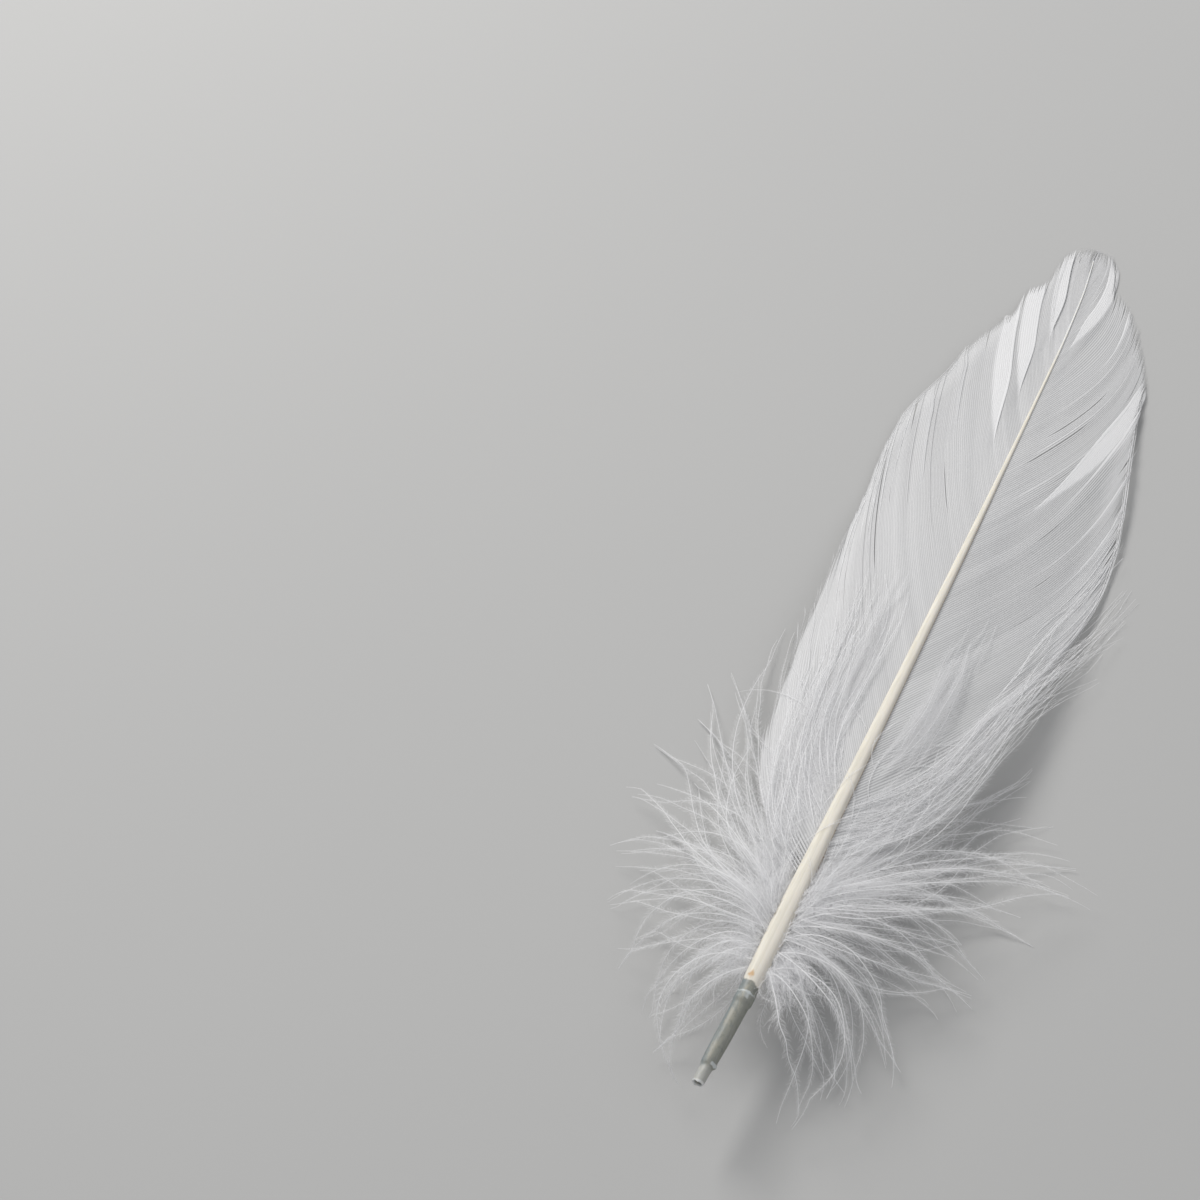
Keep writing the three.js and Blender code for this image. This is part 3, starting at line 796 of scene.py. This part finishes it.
def fluff_line(rng, side):
    """A short barb at the foot of the shaft: it sets off as the down round it does, then curls. Half of
    them cling to the shaft's upper edge."""
    near = float(rng.uniform() < 0.5)
    lock = down_lock(side, rng.uniform(0, 1) ** 0.65 * (LOCKS[side] - 1))
    line = resample(lock[:int(len(lock) * mix(0.16, 0.42, rng.uniform(0, 1) ** 1.5))], 16)
    t = np.linspace(0, 1, len(line))[:, None]
    run = np.linalg.norm(line[-1] - line[0])
    swing = np.array([rng.normal(0, 0.3) - near * SIDES[side] * 0.4, rng.normal(0.1, 0.4) + near * 0.4,
                      rng.normal(0.02, 0.12)]) * run
    line = line + swing * t ** 1.4 + np.array([0, 0, rng.uniform(-0.5, 0.5) + near * 0.7])
    return resample(line, 12)


def barrel_curl(rng, side):
    """A short barb of the lowest down that curls back along the barrel of the quill."""
    root = DOWN_START + rng.uniform(0, 4.5)
    t = np.linspace(0, 1, 24)
    heading = np.radians(rng.uniform(75, 150) + rng.uniform(0, 60) * t
                         + rng.normal(0, 40) * np.sin(rng.uniform(3, 7) * t))
    step = rng.uniform(3, 12) / len(t)
    y = root + np.cumsum(np.cos(heading)) * step
    out = shaft_half(root) * 0.8 + np.cumsum(np.sin(heading)) * step
    out = np.maximum(out, shaft_half(y) * ease(0, 0.2, t))
    z = shaft_height(root) + rng.uniform(-1, 1.2) + rng.normal(-0.5, 1.2) * t
    return resample(np.stack([shaft_middle(y) + SIDES[side] * out, y, z], 1), 12)


def down_piece(side, finish):
    rng = np.random.default_rng(SEEDS["down"][side])
    locks = LOCKS[side]
    lines = []
    for i in range(locks):
        centre = bent(rng, down_lock(side, i), 2.6, SIDES[side] * 2.8 * ease(0.35, 0.6, i / locks))
        barbs = rng.integers(1, 4) if i < 0.3 * locks else rng.integers(2, 5)
        lines += gathered(rng, centre, barbs, rng.uniform(1.8, 4.6), rng.uniform(0.72, 0.95))
    lines = np.array(lines)
    tones = rng.uniform(0, 1, len(lines))
    fluff = [fluff_line(rng, side) for _ in range(FLUFF["count"][side])]
    fluff = np.array(fluff + [barrel_curl(rng, side) for _ in range(FLUFF["curls"][side])])
    fluff_tones = rng.uniform(0, 1, len(fluff))
    piece = strips(f"{side}_down_barbs", [
        *feathered(rng, lines, tones, HAIRS["down"]),
        *feathered(rng, fluff, fluff_tones, HAIRS["fluff"]),
    ], finish)
    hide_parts(f"{side}_down")


def loose_line(side, root, length, first, low, last):
    """Middle line of a lock of loose barbs that lies over the vane and runs on past its edge."""
    t = np.linspace(0, 1, 45)
    heading = loose_heading(first, low, last, t)
    step = length / (len(t) - 1)
    x = side_of_shaft(side, root) + SIDES[side] * (np.cumsum(np.sin(heading)) - math.sin(heading[0])) * step
    y = root + (np.cumsum(np.cos(heading)) - math.cos(heading[0])) * step
    past = ease(-1, 9, SIDES[side] * x - along(VANE_EDGE[side], y))
    top = vane_top(side, x, y)
    return np.stack([x, y, mix(top + 0.06, np.maximum(top * 0.6, 0.5), past)], 1)


def plume_lock(rng, side, root, stretch=1, turn=0):
    """A loose lock, with the angles and the length that its root's place gives it."""
    length, first, low, last = (float(along(PLUME[side][key], root)) for key in (
        "length", "first", "low", "last"))
    return loose_line(side, root, length * stretch * rng.uniform(0.86, 1.04), first + rng.normal(0, 4),
                      low + rng.normal(0, 3), last + turn + rng.normal(0, 3))


def strand_pair(rng, side, root):
    """Barbs whose bare ends have come off the vane's edge together, and part again on their way."""
    lock = plume_lock(rng, side, root, rng.uniform(0.98, 1.14), -6)
    pair = gathered(rng, bent(rng, lock, 0.8), rng.integers(1, 4), rng.uniform(0.2, 0.9), 1.5)
    return [resample(line[int(SOFT_STEPS * rng.uniform(0.45, 0.68)):]) for line in pair]


def rim_line(rng, side, root):
    """A barb of a vane's foot that has slid out and lies along the vane's edge."""
    steps = 30
    barb = barb_lines(side, np.array([root]), steps)[0][0]
    barb = barb[int(steps * rng.uniform(0.55, 0.8)):]
    inset = rng.uniform(0.05, 0.8)
    barb[:, 0] -= SIDES[side] * inset * np.linspace(0, 1, len(barb))
    s = np.linspace(barb[-1, 1], barb[-1, 1] + rng.uniform(*RIM["run"]), 24)[1:]
    edge = np.stack([SIDES[side] * (along(VANE_EDGE[side], s) - inset), s], 1)
    line = np.concatenate([barb, edge])
    top = vane_top(side, line[:, 0], line[:, 1]) + rng.uniform(-0.02, 0.1)
    return resample(np.concatenate([line, top[:, None]], 1))


def wisp_line(rng, side):
    """A lone hair of down that has strayed up over the vane."""
    steps = 30
    s = rng.uniform(*WISPS["from"])
    turn = np.cumsum(rng.normal(0, 0.04, steps)) + rng.normal(0, 0.8) * np.linspace(0, 1, steps)
    heading = SIDES[side] * 0.35 + turn + rng.normal(0, 0.5)
    step = rng.uniform(*WISPS["run"]) / steps
    x = SIDES[side] * rng.uniform(0.5, 9) + np.cumsum(np.sin(heading)) * step
    y = s + np.cumsum(np.cos(heading)) * step
    on_shaft = np.abs(x - shaft_middle(y)) < shaft_half(y) * 1.2
    vane = "right" if x.mean() > 0 else "left"
    top = np.where(on_shaft, shaft_height(y) + shaft_half(y), vane_top(vane, x, y))
    top = np.convolve(np.pad(top, 3, mode="edge"), np.ones(7) / 7, mode="valid") + 0.12
    return resample(np.stack([x, y, top], 1))


def uneven_roots(rng, first, last, count):
    """Roots one after the other, a little unevenly."""
    for i in range(count):
        yield mix(first, last, (i + rng.uniform(-0.3, 0.3)) / (count - 1))


def plume_lines(rng, side):
    """The loose barbs of a vane's foot."""
    lines = []
    for i, root in enumerate(uneven_roots(rng, *PLUMES[side])):
        whole = bent(rng, plume_lock(rng, side, root), 1.2)
        rise = rng.uniform(0, 0.8)
        barbs = rng.integers(3, 6) if i > 4 else rng.integers(2, 4)
        for barb in gathered(rng, whole, barbs, rng.uniform(1.2, 3.2), 1.4):
            first = int(SOFT_STEPS * rng.uniform(0, 0.14))
            barb[:, 2] += rise * ease(first, SOFT_STEPS, np.arange(SOFT_STEPS + 1))
            lines.append(resample(barb[first:]))
    return np.array(lines)


def veil_lines(rng, side):
    """The finer barbs that lie over the vane above the plume."""
    lines = []
    for root in uneven_roots(rng, *VEILS[side]):
        whole = loose_line(side, root, rng.uniform(*VEIL["length"]), VEIL["first"] + rng.normal(0, 3),
                           VEIL["low"] + rng.normal(0, 4), VEIL["last"] + rng.normal(0, 4))
        for barb in gathered(rng, whole, 3, rng.uniform(0.9, 2.0), 1.4):
            barb[:, 2] += VEIL["lift"]
            lines.append(resample(barb[int(SOFT_STEPS * rng.uniform(0.1, 0.4)):]))
    return np.array(lines)


def edge_lines(rng, side):
    """Barbs that lie along the vane's edge, and those that have come off it."""
    lines = [rim_line(rng, side, rng.uniform(*RIM[side])) for _ in range(RIM["count"][side])]
    for root in np.linspace(*STRANDS[side]):
        lines += strand_pair(rng, side, root)
    return np.array(lines)


def plume_piece(side, finish):
    rng = np.random.default_rng(SEEDS["plume"][side])
    plume = plume_lines(rng, side)
    plume_tones = rng.uniform(0, 1, len(plume))
    veil = veil_lines(rng, side)
    edge = edge_lines(rng, side)
    edge_tones = rng.uniform(0, 0.5, len(edge))
    wisps = np.array([wisp_line(rng, side) for _ in range(WISPS["count"])])
    piece = strips(f"{side}_plume_barbs", [
        *feathered(rng, plume, plume_tones, HAIRS["plume"]),
        *feathered(rng, veil, np.full(len(veil), 0.3), HAIRS["veil"]),
        threads(edge, edge_tones, HAIRS["edge"]),
        *feathered(rng, wisps, np.full(len(wisps), 0.3), HAIRS["wisp"]),
    ], finish)


# ---- finishes
def horn_finish(tree):
    """Cream rachis that clears to grey horn below a ragged border at the foot of the down, with a ring of
    dry white sheath round it and a paler trimmed end."""
    coords = object_coords(tree)
    aside, above = attribute(tree, "aside"), attribute(tree, "above")
    s = second_of(coords) / MM - float(ORIGIN[1])
    mottle = speckle(stretched(coords, (1, 0.3, 1)), 900)
    fine = speckle(stretched(coords, (1, 0.04, 1)), 3200, detail=4)
    ragged = (speckle(coords, 900) - 0.5) * 1.6

    # the clear barrel, with pith inside, flecks and scuffs on it, its paler end and the dry skin
    pith = (1 - abs(aside + (mottle - 0.5) * 2.2).rise(0.1, 0.5)) * s.rise(2.5, 4.5)
    sheath = (s + ragged).rise(14.5, 15.0) * (1 - (s + ragged * 0.7).rise(15.8, 16.2))
    flap = (s + ragged * 0.4).rise(3.0, 3.2) * (1 - (s + ragged * 0.4).rise(3.5, 3.9)) * aside.rise(0.2, 0.6)
    dry = sheath * (mottle + (s + ragged * 0.3).rise(15.5, 15.9) * 0.4) + flap
    clear = painted(HORN, "grey", {
        # painted reflection: the barrel's left side keeps the bluish grey, the rest turns olive
        "olive": aside.rise(-0.9, 0.3),
        "pith": pith * mottle.rise(0.35, 0.6) * 0.6,
        "fleck": speckle(coords, 1500).rise(0.48, 0.68) * 0.5,
        "scuff": fine.rise(0.45, 0.75) * 0.3,
        "trimmed": (1 - (s + ragged * 0.5).rise(2.2, 3.2)) * 0.8,
        "rim": (1 - s.rise(0.1, 0.5)) * 0.8,
        "sheath": dry.rise(0.4, 0.9) * 0.75,
    })

    # the cream rachis: its flat shoulders, a painted brown shadow line along its right side, and a blot by
    # the border
    # painted shadow: a brown line down the rachis's right edge, where it meets the right vane
    shadow_line = aside.rise(0.88, 0.99) * above.rise(-0.7, -0.2) * (1 - s.rise(110, 140)) * s.rise(28, 36)
    blot = abs(aside + 0.25) * 2.2 + abs(s - 18.7) * 0.9 + ragged * 0.5
    stain = (1 - blot.rise(0.3, 1.1)) * (mottle + fine * 0.4).rise(0.4, 0.75)
    cream = painted(HORN, "cream", {
        "pale": fine.rise(0.3, 0.75),
        "tip": s.rise(146, 160),
        "shoulder": aside.rise(0.02, 0.12) * 0.3,
        "shadow_line": shadow_line * (0.45 + mottle * 0.5),
        "stain": stain * 0.85,
    })

    border = (s + ragged * 0.7 + aside * 0.4).rise(17.5, 17.9)
    bump = node(tree, "Bump", {"Strength": 0.25, "Distance": 0.00005, "Height": fine + mottle})
    return node(tree, "BsdfPrincipled", {
        "Base Color": blend(border, clear, cream),
        "Roughness": border * 0.2 + mottle * 0.2 + sheath * 0.1 + 0.36,
        "IOR": 1.45, "Specular IOR Level": 0.3, "Normal": bump,
        "Subsurface Weight": 0.15, "Subsurface Radius": (1.0, 0.85, 0.6), "Subsurface Scale": 0.0009,
    })


def vane_finish(tree, ribs):
    """White barbs: nearly solid along the middle, thinner through the barbules that hook them together,
    and whiter where two layers lie over each other."""
    uv = node(tree, "UVMap", None, {"uv_map": "barb"})
    tone, free, double, soft = (attribute(tree, name) for name in ("tone", "free", "double", "soft"))
    hooks = node(tree, "TexWave", {"Vector": uv, "Scale": 5, "Distortion": 1, "Detail": 1})
    rim = (abs(second_of(uv) - 0.5) * 2).rise(0.1, 1.0) * (1 - double * 0.8) * (1 - soft * 0.85)
    layers = double * (1 - free * 0.75)
    single = 0.78 - rim * (ribs["thin"] + hooks * 0.05) - free * 0.34 - tone * 0.1 * (1 - soft * 0.5)
    return node(tree, "BsdfPrincipled", {
        "Base Color": painted(BARBS, "middle", {
            # painted shade greys each barb away from its middle, more on the right vane, on top of each
            # lock's own tone
            "between": rim * ribs["painted_shade"] + tone * 0.35,
            "cloud": speckle(object_coords(tree), 120).rise(0.35, 0.7) * 0.3,
            "double": layers,
        }),
        "Roughness": 0.55 + rim * 0.15,
        "Alpha": single + (0.96 - single) * layers,
        "Normal": node(tree, "Bump", {"Strength": 0.3, "Distance": 0.00002, "Height": hooks}),
        "Sheen Weight": 0.1, "Sheen Roughness": 0.4, "IOR": 1.4,
    })


def down_finish(tree):
    """White with a faint lilac-grey cast, letting light through."""
    tone, free = attribute(tree, "tone"), attribute(tree, "free")
    cloud = speckle(object_coords(tree), 90)
    solid = node(tree, "BsdfPrincipled", {
        "Base Color": blend(tone * 0.6 + cloud * 0.4, DOWN["light"], DOWN["shade"]),
        "Roughness": 0.6 + cloud * 0.15, "IOR": 1.4, "Sheen Weight": 0.2, "Alpha": 1 - free * 0.3})
    through = node(tree, "BsdfTranslucent", {"Color": DOWN["through"]})
    return node(tree, "MixShader", {0: 0.35, 1: solid, 2: through})


def floor_finish(tree):
    colour = blend(speckle(object_coords(tree), 4), FLOOR["first"], FLOOR["second"])
    return node(tree, "BsdfPrincipled", {"Base Color": colour, "Roughness": 0.75})


# ---- floor, light and camera
def floor():
    bm = bmesh.new()
    bmesh.ops.create_grid(bm, x_segments=8, y_segments=8, size=3)
    mesh = mesh_of("floor", bm)
    mesh.materials.append(material("pale_floor", floor_finish))
    piece = placed("floor", mesh)


def lamp(name, place, size, power, colour=(1, 1, 1)):
    """A round lamp that shines at the feather."""
    light = bpy.data.lights.new(name, "AREA")
    light.shape, light.size, light.energy, light.color = "DISK", size, power, colour
    piece = placed(name, light)
    piece.location = place
    piece.rotation_euler = (-Vector(place)).to_track_quat("-Z", "Y").to_euler()


def lights():
    lamp("window", (-0.62, 0.45, 0.62), 0.45, 10.2, (1, 0.985, 0.96))
    lamp("fill", (0.7, -0.2, 0.8), 0.9, 2.6)
    world = bpy.data.worlds.new("room")
    world.use_nodes = True
    back = world.node_tree.nodes["Background"]
    back.inputs["Color"].default_value = (0.96, 0.975, 1.0, 1)
    back.inputs["Strength"].default_value = 0.42
    bpy.context.scene.world = world
    bpy.context.scene.view_settings.view_transform = "Standard"


def camera():
    data = bpy.data.cameras.new("camera")
    data.lens, data.sensor_width, data.sensor_height = CAMERA["lens"], CAMERA["sensor"], CAMERA["sensor"]
    data.clip_start, data.clip_end = 0.01, 20
    turned = Matrix.Translation(Vector(CAMERA["target"]) * MM)
    for axis, angle in (("Z", -CAMERA["azimuth"]), ("X", 90 - CAMERA["elevation"]), ("Z", -CAMERA["roll"])):
        turned = turned @ Matrix.Rotation(math.radians(angle), 4, axis)
    piece = placed("camera", data)
    piece.matrix_world = turned @ Matrix.Translation((0, 0, CAMERA["distance"] * MM))
    bpy.context.scene.camera = piece


camera()
lights()
floor()
shaft_piece(material("horn", horn_finish))
white = material("down_barb", down_finish)
for side in SIDES:
    vane_piece(side, material(f"{side}_vane_barb", vane_finish, RIBS[side]))
    down_piece(side, white)
    plume_piece(side, white)
